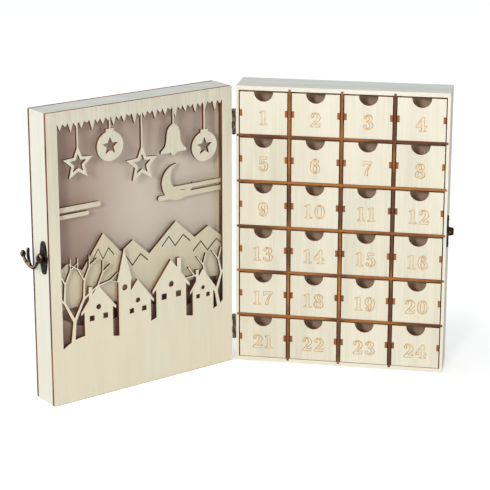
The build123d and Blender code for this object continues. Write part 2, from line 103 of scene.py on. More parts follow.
# Roughness, gloss and depth of relief of the finishes
PLY_ROUGH = (0.62, 0.78)
CARD_ROUGH = (0.7, 0.85)
METAL_ROUGH = (0.52, 0.30)
PLY_GLOSS = 0.25
CARD_GLOSS = 0.2
LINE_GLOSS = 0.15
METAL_GLOSS = 0.5
PLY_RELIEF = 0.25
PLY_DEPTH = 0.00012
METAL_DEPTH = 0.00015

# Grain bands against fine grain, and shares of the patterns in a blend
BAND_WIDER = 11
BAND_LONGER = 3
FINE_SHARE = 0.45
BURN_SPECK_SHARE = 0.22
METAL_SPECK_SHARE = 0.35
WEAR_EDGE = 0.22

# Tints against a surface's own colour
PALE_STREAK = 1.02
DARK_STREAK = (0.965, 0.95, 0.91)
WARM_PATCH = (1.02, 0.975, 0.90)
DIM_DRAWER = (0.95, 0.935, 0.90)
OVERLAY_TINTS = (1.05, 0.9)
CARD_TINTS = (0.99, 1.13)
LINE_TINTS = (0.72, 1.2)
# Painted shade: the cover panels' faces darken towards the top by this factor.
PANEL_TOP_SHADE = 0.9

# Lightness of the burnt edges, for the partitions in the order of their numbers
SHELF_TONES = (0.0, 0.03, 0.06, 0.16, 0.03)
DIVIDER_TONES = (0.08, -0.02, -0.12)
TAB_TONE = 0.12
TAB_END_TONE = 0.4
PANEL_TONE = -0.04
LAYER_TONE = -0.1

# Lamps with their place, size and tint, each as strong as the stage's value of that name
LAMPS = {
    "key": ((-0.30, -2.4, 1.0), 0.36, (1.0, 0.98, 0.94)),
    "fill": ((1.25, -2.1, 0.85), 1.4, (1.0, 0.99, 0.97)),
    "side": ((-2.2, -1.0, 0.8), 1.4, (0.97, 0.985, 1.0)),
    "top": ((-0.1, -0.2, 2.4), 1.6, (0.95, 0.98, 1.0)),
}
LAMP_AIM = Vector((-0.06, -0.06, 0.15))

# Camera, floor and surroundings
CAMERA_PLACE = (0.20639, -1.69183, 0.65845)
SENSOR = 36.0
FAR_CLIP = 50.0
FLOOR_DROP = 0.2 * MM
FLOOR_GREY = (0.86, 0.86, 0.86, 1.0)
LIFT_MIDDLE = (0.1, -0.1, 0.0)
LIFT_SPAN = (0.2, 0.38)
SKY = (0.93, 0.97, 1.0, 1.0)
SKY_SPAN = (0.1, 0.9)
WHITE = (1.0, 1.0, 1.0, 1.0)

# Directions of the cover, which stands folded forward by the hinge's upper limit
HINGE = JOINTS["cover_hinge"]
FOLD = math.radians(HINGE["range_deg"][1])
HINGE_PLACE = Vector(HINGE["pos_m"])
FOLDED = Matrix.Translation(HINGE_PLACE) @ Matrix.Rotation(FOLD, 4, "Z") @ Matrix.Translation(-HINGE_PLACE)
COVER_FACE = Matrix.Rotation(FOLD, 3, "Z") @ Vector((0.0, -1.0, 0.0))
LATCH = JOINTS["latch_swing"]
LATCH_OUT = Vector(LATCH["axis"]).normalized()
LATCH_PLACE = Vector(LATCH["pos_m"])

# Numerals as closed contours on a unit height: s for a smooth point and c for a corner
CONTOURS = {
    "1": (
        "c .06 0 c .50 0 c .50 .07 c .37 .11 c .37 1 c .29 1 c .06 .90 c .06 .84 c .19 .86 c .19 .11 "
        "c .06 .07",
    ),
    "2": (
        "c .04 0 c .56 0 c .60 .26 c .54 .26 c .48 .16 c .24 .16 s .42 .36 s .57 .56 s .58 .76 s .46 .95 "
        "s .29 1 s .11 .92 s .05 .76 s .10 .68 s .19 .70 s .21 .79 s .18 .86 s .24 .92 s .34 .91 s .40 .78 "
        "s .38 .58 s .24 .34 c .04 .09",
    ),
    "3": (
        "s .05 .80 s .13 .94 s .30 1 s .48 .93 s .53 .76 s .46 .60 c .36 .53 s .51 .45 s .58 .27 s .48 .06 "
        "s .27 -.01 s .09 .05 s .03 .19 s .10 .27 s .19 .22 s .18 .12 s .27 .07 s .38 .14 s .40 .28 "
        "s .33 .44 c .20 .48 c .20 .55 s .31 .60 s .36 .75 s .33 .89 s .25 .92 s .18 .87 s .20 .77 "
        "s .12 .71",
    ),
    "4": (
        "c .22 0 c .60 0 c .60 .06 c .50 .09 c .50 .26 c .62 .26 c .62 .38 c .50 .38 c .50 1 c .38 1 "
        "c .02 .38 c .02 .26 c .33 .26 c .33 .09 c .22 .06",
        "c .33 .38 c .33 .76 c .12 .38",
    ),
    "5": (
        "c .12 1 c .53 1 c .50 .83 c .20 .83 c .18 .62 s .32 .66 s .50 .57 s .58 .34 s .48 .08 s .26 -.01 "
        "s .08 .06 s .03 .19 s .10 .27 s .19 .22 s .18 .12 s .27 .07 s .38 .17 s .40 .34 s .35 .52 s .24 .55 "
        "s .15 .50 c .08 .50",
    ),
    "6": (
        "s .52 .80 s .47 .94 s .32 1 s .13 .87 s .04 .50 s .11 .12 s .31 -.01 s .52 .09 s .59 .32 s .52 .54 "
        "s .35 .63 c .22 .57 s .24 .80 s .33 .92 s .39 .88 s .38 .78 s .46 .72",
        "s .31 .53 s .23 .44 s .22 .24 s .31 .07 s .41 .22 s .40 .44",
    ),
    "7": (
        "c .05 1 c .58 1 c .58 .90 s .36 .40 c .33 0 c .16 0 s .24 .36 c .46 .82 c .18 .82 c .11 .70 "
        "c .05 .70",
    ),
    "8": (
        "s .31 1 s .50 .92 s .55 .76 s .50 .62 s .41 .53 s .55 .40 s .59 .24 s .51 .06 s .31 -.01 s .11 .06 "
        "s .03 .24 s .07 .40 s .20 .51 s .10 .62 s .07 .76 s .13 .92",
        "s .31 .93 s .24 .86 s .24 .72 s .34 .60 s .39 .72 s .38 .86",
        "s .30 .07 s .20 .16 s .19 .32 s .27 .44 s .40 .34 s .42 .16",
    ),
    "0": (
        "s .31 1 s .52 .86 s .59 .5 s .52 .14 s .31 0 s .10 .14 s .03 .5 s .10 .86",
        "s .31 .92 s .39 .82 s .42 .5 s .39 .18 s .31 .08 s .23 .18 s .20 .5 s .23 .82",
    ),
}

# Sum of a six's place and a nine's along each axis
TURNED = (0.62, 0.99)


def colour(name, description, default):
    """Colour property as the wood or metal shows it in plain light."""
    return FloatVectorProperty(
        name=name, description=description, subtype="COLOR", size=3, min=0.0, max=1.0, default=default)


def length(name, description, default):
    """Length property in metres."""
    return FloatProperty(
        name=name, description=description, subtype="DISTANCE", unit="LENGTH", default=default)


def number(name, description, default):
    """Plain number property."""
    return FloatProperty(name=name, description=description, default=default)


class CalendarWood(bpy.types.PropertyGroup):
    """Colours and grain of the ply."""

    case: colour("Case", "Pale outer boards of the drawer case", (0.82, 0.79, 0.68))
    drawer: colour("Drawers", "Face of the drawers", (0.81, 0.77, 0.645))
    # Painted light: this tint of the faces that look up stands for how the light falls on the tops, not for a
    # change in the wood.
    upper: colour("Upper", "Top of the drawer case, bleached by the light", (0.86, 0.865, 0.79))
    picture: colour("Picture", "Face of the pierced cover panel", (0.78, 0.735, 0.595))
    layer: colour("Layer", "Face of the second pierced layer", (0.66, 0.605, 0.47))
    backing: colour("Backing", "Sheet behind the picture", (0.60, 0.53, 0.45))
    rail: colour("Rails", "Sides of the cover", (0.86, 0.85, 0.75))
    burn_dark: colour("Dark burn", "Darkest tone of a laser-cut edge", (0.12, 0.046, 0.021))
    burn_light: colour("Light burn", "Lightest tone of a laser-cut edge", (0.40, 0.15, 0.034))
    panel_dark: colour("Dark panel burn", "Darkest tone of the cover panels' edges", (0.085, 0.024, 0.011))
    panel_light: colour("Light panel burn", "Lightest tone of the cover panels' edges", (0.33, 0.085, 0.022))
    # Painted shade: this tone darkens the layer and the backing where the picture's recess lies in shade.
    deep: colour("Deep stain", "Stain in the depth of the picture", (0.33, 0.215, 0.165))
    tab_dark: colour("Dark tab burn", "Darkest tone of the drawers' cut edges", (0.15, 0.045, 0.019))
    tab_light: colour("Light tab burn", "Lightest tone of the drawers' cut edges", (0.40, 0.122, 0.026))
    # Sooty tone of the bays' faces near the front: partly laser soot, partly painted shade in the narrow gaps
    # round the drawers.
    smoke: colour("Smoke", "Laser smoke inside the bays", (0.36, 0.12, 0.045))
    # Painted shade: the browner inside of the drawers stands for the shade and warm bounce light in them, not
    # for other ply.
    inner: colour("Inside", "Unsanded ply inside the drawers", (0.79, 0.57, 0.40))
    # Depth and share of that sooty tone, which is laser soot and painted gap shade alike.
    smoke_depth: length("Smoke depth", "How far laser smoke reaches in from a bay's front", 0.012)
    smoke_share: number("Smoke share", "How much the smoke covers at the front", 0.95)
    grain_across: length("Grain spacing", "Distance between fine grain lines", 0.0012)
    grain_along: length("Grain length", "Length of a fine grain line", 0.045)


class CalendarNumerals(bpy.types.PropertyGroup):
    """Burnt numerals on the drawer fronts."""

    height: length("Height", "Height of a numeral", 0.0148)
    stretch: number("Stretch", "Width of a figure against the width it is drawn with", 1.18)
    line: length("Line", "Width of the burnt line", 0.0009)
    proud: length("Proud", "How far the burnt line stands proud", 0.00006)
    place: number("Place", "Share of the front's height from its top to the numeral's middle", 0.607)
    gap: number("Gap", "Gap between two figures, as a share of their height", 0.20)
    tone: colour("Tone", "Colour of the burnt line", (0.68, 0.42, 0.15))


class CalendarMetal(bpy.types.PropertyGroup):
    """Antique fittings."""

    brass: colour("Brass", "Worn hinge brass", (0.23, 0.17, 0.085))
    tarnish: colour("Tarnish", "Dark film on the hinges", (0.055, 0.043, 0.027))
    bronze: colour("Bronze", "Worn bronze of the latch", (0.34, 0.24, 0.12))
    patina: colour("Patina", "Near-black patina of the latch", (0.017, 0.014, 0.011))
    nail_radius: length("Nail radius", "Radius of a nail's domed head", 0.00125)
    nail_rise: length("Nail rise", "Height of a nail's domed head", 0.0005)
    nail_margin: length("Nail margin", "Distance of a hinge nail from the leaf's end", 0.0055)
    nail_back: length("Nail back", "Distance of a hinge nail behind the pin", 0.0069)
    leaf_stand: length("Leaf stand", "Distance of a leaf's face from the plane of the pins", 0.0014)
    # The upward lean paints worn brass as a highlight where the light from above falls on the hook.
    rub_lift: number("Rub lift", "How far up the most rubbed side of the hook looks", 0.7)


class CalendarHook(bpy.types.PropertyGroup):
    """Sizes of the cast hook."""

    wire: length("Wire", "Radius of the hook's round bar", 0.0017)
    eye: length("Eye", "Radius of the eye at the middle of its bar", 0.0036)
    reach: length("Reach", "Distance from the eye to the middle of the slot", 0.0169)
    slot: length("Slot", "Radius of the slot at the middle of its bar", 0.0063923)
    droop: number("Droop", "Angle of the slot below the level in degrees", 24.0)
    claw: number("Claw", "Angle that the claw sweeps in degrees", 34.0)
    handle: length("Handle", "Radius of the handle's first bend", 0.026)
    handle_turn: number("Handle turn", "Angle of the handle's first bend in degrees", 33.0)
    curl: length("Curl", "Radius of the bend at the handle's end", 0.009)
    curl_turn: number("Curl turn", "Angle of the bend at the handle's end in degrees", 46.0)
    drop: length("Drop", "Radius of the drop on the handle's end", 0.0029)
    stretch: number("Stretch", "Length of the drop against its width", 1.3)
    grit: length("Grit", "Fineness of the cast surface", 0.00028)
    stand: length("Stand", "Distance of the hook's middle from the cover", 0.005)
    plate: length("Plate", "Thickness of the plates that it turns on and catches", 0.0018)
    lobe: length("Lobe", "Radius of a plate's round ends", 0.004)


class CalendarStage(bpy.types.PropertyGroup):
    """Floor, light and camera."""

    floor: length("Floor size", "Side of the square floor", 14.0)
    key: number("Key light", "Power of the front lamp in watts", 18.2)
    fill: number("Fill light", "Power of the right lamp in watts", 20.5)
    side: number("Side light", "Power of the left lamp in watts", 10.0)
    top: number("Top light", "Power of the lamp overhead in watts", 4.8)
    ambient: number("Ambient", "Strength of the soft light from the surroundings", 0.47)
    right_share: number("Right share", "Share of the soft light that comes from the right", 0.3)
    lift_near: number("Near lift", "Light that the floor by the case adds for the camera alone", 0.42)
    lift_far: number("Far lift", "Light that the floor away from the case adds for the camera alone", 0.62)
    lens: FloatProperty(
        name="Lens", description="Focal length on a 36 mm sensor", subtype="DISTANCE_CAMERA",
        unit="CAMERA", default=124.11)
    shift: number("Shift", "Vertical lens shift", -0.1)
    yaw: number("Yaw", "Camera heading from +Y towards +X in degrees", -10.407)
    pitch: number("Pitch", "Camera tilt below the horizon in degrees", 15.654)


# Node trees

def add_node(tree, kind, inputs=None, **settings):
    """Node with its settings and inputs, each input a value or another node's socket."""
    node = tree.nodes.new(kind)
    for key, value in settings.items():
        setattr(node, key, value)
    for key, value in (inputs or {}).items():
        if isinstance(value, bpy.types.NodeSocket):
            tree.links.new(value, node.inputs[key])
        else:
            node.inputs[key].default_value = value
    return node


def math_node(tree, operation, first, second=0.0, clamp=False):
    """Result of one sum on two numbers."""
    node = add_node(tree, "ShaderNodeMath", {0: first, 1: second}, operation=operation, use_clamp=clamp)
    return node.outputs[0]


def every(tree, first, *others):
    """Product of some masks, which is one where each of them is."""
    for mask in others:
        first = math_node(tree, "MULTIPLY", first, mask)
    return first


def greatest(tree, first, *others):
    """The greatest of some masks."""
    for mask in others:
        first = math_node(tree, "MAXIMUM", first, mask)
    return first


def below(tree, value, limit):
    """One where a value is less than a limit, else nought."""
    return math_node(tree, "LESS_THAN", value, limit)


def above(tree, value, limit):
    """One where a value is more than a limit, else nought."""
    return math_node(tree, "GREATER_THAN", value, limit)


def away_from(tree, value, middle):
    """Distance of a value from a middle."""
    return math_node(tree, "ABSOLUTE", math_node(tree, "SUBTRACT", value, middle))


def in_grid(tree, value, start, pitch):
    """Number of the cell that a value lies in, and its place in that cell."""
    along = math_node(tree, "SUBTRACT", value, start)
    cell = math_node(tree, "FLOOR", math_node(tree, "DIVIDE", along, pitch))
    return cell, math_node(tree, "FLOORED_MODULO", along, pitch)


def remap(tree, value, low, high, to_low=0.0, to_high=1.0):
    """Value moved from one span to another and held there."""
    inputs = {"Value": value, "From Min": low, "From Max": high, "To Min": to_low, "To Max": to_high}
    return add_node(tree, "ShaderNodeMapRange", inputs, interpolation_type="SMOOTHSTEP").outputs["Result"]


def blend_colours(tree, share, first, second):
    """Colour between two others."""
    node = add_node(tree, "ShaderNodeMix", {0: share}, data_type="RGBA")
    for index, value in ((6, first), (7, second)):
        if isinstance(value, bpy.types.NodeSocket):
            tree.links.new(value, node.inputs[index])
        else:
            node.inputs[index].default_value = (*value, 1.0)
    return node.outputs[2]


def shade(value, factor):
    """Colour made lighter or darker."""
    return tuple(min(1.0, part * factor) for part in value)


def tinted(value, factors):
    """Colour with each of its parts scaled by itself."""
    return tuple(part * factor for part, factor in zip(value, factors))


def noise(tree, place, spacing, detail=3.0, rough=0.55, offset=0.0):
    """Noise with its own spacing in metres, one for all axes or one along each."""
    steps = (spacing,) * 3 if isinstance(spacing, float) else spacing
    scale = tuple(1.0 / step for step in steps)
    mapping = add_node(
        tree, "ShaderNodeMapping", {"Vector": place, "Scale": scale, "Location": (offset, offset, offset)})
    inputs = {"Vector": mapping.outputs[0], "Scale": 1.0, "Detail": detail, "Roughness": rough}
    return add_node(tree, "ShaderNodeTexNoise", inputs).outputs["Fac"]


def speckle(tree, pattern, share):
    """Pattern turned into a small number about nought."""
    return math_node(tree, "MULTIPLY", math_node(tree, "SUBTRACT", pattern, 0.5), share)


def split(tree, vector):
    """The three parts of a vector."""
    return add_node(tree, "ShaderNodeSeparateXYZ", {0: vector}).outputs


def agreement(tree, normal, axis):
    """How far a surface faces along an axis."""
    node = add_node(tree, "ShaderNodeVectorMath", {0: normal, 1: tuple(axis)}, operation="DOT_PRODUCT")
    return node.outputs["Value"]


def off_axis(tree, normal, axis):
    """One on surfaces that stand square to a sheet's own faces."""
    facing = math_node(tree, "ABSOLUTE", agreement(tree, normal, axis))
    return remap(tree, facing, *EDGE_SPAN, 1.0, 0.0)


def faces_up(tree, normal):
    """One on surfaces that look up."""
    return above(tree, split(tree, normal)[2], SQUARE)


def new_material(name):
    """Empty material with its shader, node tree, object place and object normal."""
    material = bpy.data.materials.new(name)
    material.use_nodes = True
    tree = material.node_tree
    tree.nodes.clear()
    shader = add_node(tree, "ShaderNodeBsdfPrincipled")
    output = add_node(tree, "ShaderNodeOutputMaterial", {"Surface": shader.outputs[0]})
    output.is_active_output = True
    place = add_node(tree, "ShaderNodeTexCoord")
    return material, tree, shader, place.outputs["Object"], place.outputs["Normal"]


def set_finish(tree, shader, base, rough, gloss):
    """Gives a shader its colour, roughness and gloss."""
    tree.links.new(base, shader.inputs["Base Color"])
    tree.links.new(rough, shader.inputs["Roughness"])
    shader.inputs["Specular IOR Level"].default_value = gloss


def emboss(tree, shader, height, strength, depth):
    """Raises a pattern on a surface."""
    relief = add_node(tree, "ShaderNodeBump", {"Height": height, "Strength": strength, "Distance": depth})
    tree.links.new(relief.outputs[0], shader.inputs["Normal"])


# Wood

def grain_spacing(wood, along, wider=1, longer=1):
    """Spacing of grain lines that run along one axis."""
    spacing = [wood.grain_across * wider] * 3
    spacing["XYZ".index(along)] = wood.grain_along * longer
    return spacing


def burnt_edge(tree, place, burn, offset, bias):
    """Colour of a laser-cut edge, which runs between its dark and its light tone."""
    dark, light = burn
    tone = noise(tree, place, BURN_SPACING, detail=2.0, offset=offset)
    speck = speckle(tree, noise(tree, place, BURN_SPECK), BURN_SPECK_SHARE)
    tone = math_node(tree, "ADD", math_node(tree, "ADD", tone, speck), bias)
    return blend_colours(tree, remap(tree, tone, *NOISE_SPAN), tuple(dark), tuple(light))


def wood_surface(
        tree, shader, place, wood, face, along, burnt=None, burn=None, offset=0.0, bias=0.0, overlays=()):
    """Colour, roughness and grain relief of ply, with overlays and burnt edges where masks ask for them."""
    fine = noise(tree, place, grain_spacing(wood, along), detail=4.0)
    bands = noise(tree, place, grain_spacing(wood, along, BAND_WIDER, BAND_LONGER), offset=BAND_START)
    patches = noise(tree, place, PATCH_SPACING, detail=2.0, offset=PATCH_START)
    lines = math_node(tree, "MULTIPLY", fine, FINE_SHARE)
    streak = math_node(tree, "ADD", lines, math_node(tree, "MULTIPLY", bands, 1.0 - FINE_SHARE))
    streak = remap(tree, streak, *NOISE_SPAN)
    base = blend_colours(tree, streak, shade(face, PALE_STREAK), tinted(face, DARK_STREAK))
    base = blend_colours(tree, remap(tree, patches, *PATCH_SPAN), base, tinted(face, WARM_PATCH))
    for mask, tint in overlays:
        pale, dark = (shade(tint, factor) for factor in OVERLAY_TINTS)
        base = blend_colours(tree, mask, base, blend_colours(tree, streak, pale, dark))
    if burnt is not None:
        base = blend_colours(tree, burnt, base, burnt_edge(tree, place, burn, offset, bias))
    set_finish(tree, shader, base, remap(tree, fine, *FINE_SPAN, *PLY_ROUGH), PLY_GLOSS)
    emboss(tree, shader, fine, PLY_RELIEF, PLY_DEPTH)


def smoke(tree, y, wood):
    """Share of laser soot and painted gap shade inside a bay, which fades from the front."""
    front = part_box("shelf_1")[0].y
    return remap(tree, y, front, front + wood.smoke_depth, wood.smoke_share, 0.0)


def partition_ply(name, along, edge_axis, offset, bias):
    """Ply of a shelf or divider: burnt edges, and laser soot with painted gap shade behind the front one."""
    wood = bpy.context.scene.calendar_wood
    material, tree, shader, place, normal = new_material(name)
    overlays = [(smoke(tree, split(tree, place)[1], wood), wood.smoke)]
    burnt = off_axis(tree, normal, edge_axis)
    burn = (wood.burn_dark, wood.burn_light)
    wood_surface(tree, shader, place, wood, tuple(wood.case), along, burnt, burn, offset, bias, overlays)
    return material


def case_ply(name, along):
    """Ply of the case's outer boards, with a painted light tone on top, and laser soot with painted gap shade
    on what faces the drawers.
    """
    wood = bpy.context.scene.calendar_wood
    low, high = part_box("case_back_panel")
    middle, half = (low + high) / 2, (high - low) / 2
    material, tree, shader, place, normal = new_material(name)
    x, y, z = split(tree, place)
    in_width = below(tree, away_from(tree, x, middle.x), half.x + FLUSH)
    in_height = below(tree, away_from(tree, z, middle.z), half.z + FLUSH)
    # Laser soot and painted shade on the faces that look into the bays, near the front.
    smoked_and_shaded = every(tree, in_width, in_height, smoke(tree, y, wood))
    # Painted light: faces that look up take the top tint.
    upper = every(tree, faces_up(tree, normal), above(tree, z, high.z + FLUSH))
    overlays = [(upper, wood.upper), (smoked_and_shaded, wood.smoke)]
    wood_surface(tree, shader, place, wood, tuple(wood.case), along, overlays=overlays)
    return material


def rail_ply(name, along):
    """Ply of the cover's rails, with a painted light tone on the faces that look up."""
    wood = bpy.context.scene.calendar_wood
    material, tree, shader, place, normal = new_material(name)
    # Painted light: faces that look up take the top tint.
    overlays = [(faces_up(tree, normal), wood.upper)]
    wood_surface(tree, shader, place, wood, tuple(wood.rail), along, overlays=overlays)
    return material


def spacer_ply(name):
    """Plain ply of the spacers between the picture's layers."""
    wood = bpy.context.scene.calendar_wood
    material, tree, shader, place, _ = new_material(name)
    wood_surface(tree, shader, place, wood, tuple(wood.layer), "Z")
    return material


def panel_ply(name, node, face, offset):
    """Ply of a cover panel: burnt edges, a painted contact shadow in the burnt tone along its bottom edge,
    and painted shade that darkens the face towards the top.
    """
    wood = bpy.context.scene.calendar_wood
    foot_band, foot_share, plain_height = 0.5 * MM, 0.5, 100 * MM
    low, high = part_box(node)
    material, tree, shader, place, normal = new_material(name)
    z = split(tree, place)[2]
    # Painted shadow: a thin band in the burnt tone along the bottom of the face stands for the contact shadow
    # at the floor.
    foot_shadow = math_node(tree, "MULTIPLY", below(tree, z, low.z + foot_band), foot_share)
    burnt = greatest(tree, off_axis(tree, normal, COVER_FACE), foot_shadow)
    burn = (wood.panel_dark, wood.panel_light)
    # Painted shade: the face darkens towards the top.
    overlays = [(remap(tree, z, low.z + plain_height, high.z), shade(face, PANEL_TOP_SHADE))]
    wood_surface(tree, shader, place, wood, face, "Z", burnt, burn, offset, PANEL_TONE, overlays)
    return material


def layer_ply(name):
    """Ply of the layer behind the picture, with painted shade that darkens it towards the bottom."""
    wood = bpy.context.scene.calendar_wood
    shade_low, shade_high = 70 * MM, 110 * MM
    material, tree, shader, place, normal = new_material(name)
    burnt = off_axis(tree, normal, COVER_FACE)
    burn = (wood.panel_dark, wood.panel_light)
    # Painted shade: the layer darkens towards the bottom.
    layer_foot_shade = remap(tree, split(tree, place)[2], shade_low, shade_high, 1.0, 0.0)
    overlays = [(layer_foot_shade, wood.deep)]
    wood_surface(
        tree, shader, place, wood, tuple(wood.layer), "Z", burnt, burn, LAYER_START, LAYER_TONE, overlays)
    return material


def backing_card(name):
    """Smooth card behind the picture, with painted shade that darkens it towards its free side, its top and
    its bottom.
    """
    wood = bpy.context.scene.calendar_wood
    side_shade_strength, top_shade_strength, foot_shade_strength = 0.85, 0.6, 1.0
    near, far, foot_near, foot_far = 10 * MM, 85 * MM, 50 * MM, 130 * MM
    low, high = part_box("backing_sheet")
    material, tree, shader, place, _ = new_material(name)
    x, _, z = split(tree, place)
    dark, light = (shade(wood.backing, factor) for factor in CARD_TINTS)
    base = blend_colours(tree, noise(tree, place, CARD_CLOUD, detail=2.0), dark, light)
    # Painted shade where the frame and the layers shade the card: its free side, its top and its bottom.
    side = remap(tree, x, low.x + near, low.x + far, side_shade_strength, 0.0)
    top = remap(tree, z, high.z - far, high.z - near, 0.0, top_shade_strength)
    foot_shadow = remap(tree, z, low.z + foot_near, low.z + foot_far, foot_shade_strength, 0.0)
    base = blend_colours(tree, greatest(tree, side, top, foot_shadow), base, tuple(wood.deep))
    rough = remap(tree, noise(tree, place, CARD_FIBRE), *FINE_SPAN, *CARD_ROUGH)
    set_finish(tree, shader, base, rough, CARD_GLOSS)
    return material


def drawer_ply(name):
    """Ply of the drawers: burnt on the front's edges, the tab ends and the top edges, no two quite alike."""
    wood = bpy.context.scene.calendar_wood
    slack, sheet, tab_half = 0.2 * MM, 2.5 * MM, 3.4 * MM
    scorch_start, scorch_full = tab_half - 1.5 * MM, tab_half - 0.3 * MM
    low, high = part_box("drawer_21")
    half = (high - low) / 2
    pitch_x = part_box("drawer_22")[0].x - low.x
    pitch_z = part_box("drawer_17")[0].z - low.z
    material, tree, shader, place, normal = new_material(name)
    x, y, z = split(tree, place)
    _, facing_y, facing_z = split(tree, normal)
    column, local_x = in_grid(tree, x, low.x - slack, pitch_x)
    row, local_z = in_grid(tree, z, low.z - slack, pitch_z)
    from_middle = away_from(tree, local_x, half.x + slack)
    from_level = away_from(tree, local_z, half.z + slack)
    edge = below(tree, math_node(tree, "ABSOLUTE", facing_y), SQUARE)
    tab = every(
        tree, above(tree, from_middle, half.x - sheet - FLUSH), below(tree, from_level, tab_half),
        below(tree, facing_y, -SQUARE))
    front_edge = every(tree, below(tree, y, low.y + sheet + FLUSH), edge)
    top = every(tree, above(tree, facing_z, SQUARE), above(tree, local_z, half.z + slack))
    # Painted shade: the inside of a drawer takes the browner tone.
    inside = every(
        tree, above(tree, y, low.y + sheet - FLUSH), below(tree, from_middle, half.x - sheet + FLUSH))
    # Laser soot and painted shade on the drawers' outer sides near the front, in the narrow gaps.
    smoked_and_shaded = every(tree, above(tree, from_middle, half.x - FLUSH), edge, smoke(tree, y, wood))
    scorch = every(tree, tab, remap(tree, from_level, scorch_start, scorch_full), TAB_END_TONE)
    cell = add_node(tree, "ShaderNodeCombineXYZ", {0: column, 1: row}).outputs[0]
    chance = add_node(tree, "ShaderNodeTexWhiteNoise", {"Vector": cell}, noise_dimensions="2D")
    overlays = [
        (chance.outputs["Value"], tinted(wood.drawer, DIM_DRAWER)),
        (inside, wood.inner),
        (smoked_and_shaded, wood.smoke),
    ]
    burnt = greatest(tree, tab, front_edge, top)
    burn = (wood.tab_dark, wood.tab_light)
    bias = math_node(tree, "SUBTRACT", TAB_TONE, scorch)
    wood_surface(
        tree, shader, place, wood, tuple(wood.drawer), "Z", burnt, burn, DRAWER_START, bias, overlays)
    return material


# Metal and burnt lines

def fitting(name, worn, film, cover, bump, rubbed_and_lit=None):
    """Antique metal with a dark film that has worn off in places; given a side, it wears most where surfaces
    face that way, partly a worn finish and partly a painted highlight where the light falls.
    """
    material, tree, shader, place, normal = new_material(name)
    cloud = noise(tree, place, METAL_CLOUD, detail=4.0, rough=0.65)
    speck = noise(tree, place, METAL_SPECK)
    wear = math_node(tree, "ADD", cloud, speckle(tree, speck, METAL_SPECK_SHARE))
    if rubbed_and_lit is not None:
        wear = math_node(tree, "ADD", wear, remap(tree, agreement(tree, normal, rubbed_and_lit), *RUB_AND_HIGHLIGHT_SPAN))
    wear = remap(tree, wear, cover, cover + WEAR_EDGE)
    base = blend_colours(tree, wear, tuple(film), tuple(worn))
    set_finish(tree, shader, base, remap(tree, wear, 0.0, 1.0, *METAL_ROUGH), METAL_GLOSS)
    shader.inputs["Metallic"].default_value = 1.0
    emboss(tree, shader, speck, bump, METAL_DEPTH)
    return material


def burnt_line(name, tone):
    """Burnt line of a numeral, lighter and darker along its run."""
    material, tree, shader, place, _ = new_material(name)
    run = noise(tree, place, LINE_SPACING)
    dark, light = (shade(tone, factor) for factor in LINE_TINTS)
    base = blend_colours(tree, remap(tree, run, *LINE_SPAN), dark, light)
    set_finish(tree, shader, base, remap(tree, run, *FINE_SPAN, *CARD_ROUGH), LINE_GLOSS)
    return material


def dress(node, material):
    """Gives a solid of the frame one material."""
    solid = frame["nodes"][node]
    solid.data.materials.clear()
    solid.data.materials.append(material)


# Meshes

def finish_piece(bm, name, material, body, smooth=True):
    """Merges, turns outwards and links a new piece, and lets it ride on its body."""
    bmesh.ops.remove_doubles(bm, verts=bm.verts, dist=MERGE)
    bmesh.ops.recalc_face_normals(bm, faces=bm.faces)
    for face in bm.faces:
        face.smooth = smooth
    mesh = bpy.data.meshes.new(name)
    bm.to_mesh(mesh)
    bm.free()
    return link_piece(mesh, name, material, body)


def link_piece(mesh, name, material, body):
    """Puts a finished mesh into the scene as a piece."""
    mesh.materials.clear()
    mesh.materials.append(material)
    piece = bpy.data.objects.new(name, mesh)
    bpy.context.scene.collection.objects.link(piece)
    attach(piece, body)
    return piece


def add_dome(bm, place, out, radius, rise):
    """Domed nail head whose lower half sits in what it holds."""
    turn = UP.rotation_difference(out).to_matrix().to_4x4()
    squash = Matrix.Diagonal((1.0, 1.0, rise / radius, 1.0))
    bmesh.ops.create_uvsphere(
        bm, u_segments=16, v_segments=8, radius=radius, matrix=Matrix.Translation(place) @ turn @ squash)


def add_bent_bar(bm, centre, radius, start, turn, thick):
    """Round bar along an arc in the XY plane, from one angle through a turn in degrees."""
    disc = bmesh.ops.create_circle(bm, cap_ends=True, cap_tris=False, segments=BAR_SIDES, radius=thick)
    bar = disc["verts"]
    middle = Vector((*centre, 0.0))
    stand = Matrix.Rotation(math.radians(90.0), 4, "X")
    seat = Matrix.Rotation(math.radians(start), 4, "Z") @ Matrix.Translation((radius, 0.0, 0.0)) @ stand
    bmesh.ops.transform(bm, matrix=Matrix.Translation(middle) @ seat, verts=bar)
    rim = list({edge for vert in bar for edge in vert.link_edges})
    cap = list({face for vert in bar for face in vert.link_faces})
    steps = max(FEWEST_STEPS, int(abs(turn) / STEP_TURN))
    bmesh.ops.spin(
        bm, geom=bar + rim + cap, cent=middle, axis=UP, dvec=(0.0, 0.0, 0.0), angle=math.radians(turn),
        steps=steps, use_merge=False, use_normal_flip=False, use_duplicate=False)


def add_ring(bm, radius, thick):
    """Full ring in the XY plane."""
    section = bmesh.ops.create_circle(bm, cap_ends=False, segments=BAR_SIDES, radius=thick)["verts"]
    stand = Matrix.Translation((radius, 0.0, 0.0)) @ Matrix.Rotation(math.radians(90.0), 4, "X")
    bmesh.ops.transform(bm, matrix=stand, verts=section)
    rim = list({edge for vert in section for edge in vert.link_edges})
    bmesh.ops.spin(
        bm, geom=section + rim, cent=(0.0, 0.0, 0.0), axis=UP, dvec=(0.0, 0.0, 0.0),
        angle=math.radians(360.0), steps=40, use_merge=True, use_normal_flip=False, use_duplicate=False)


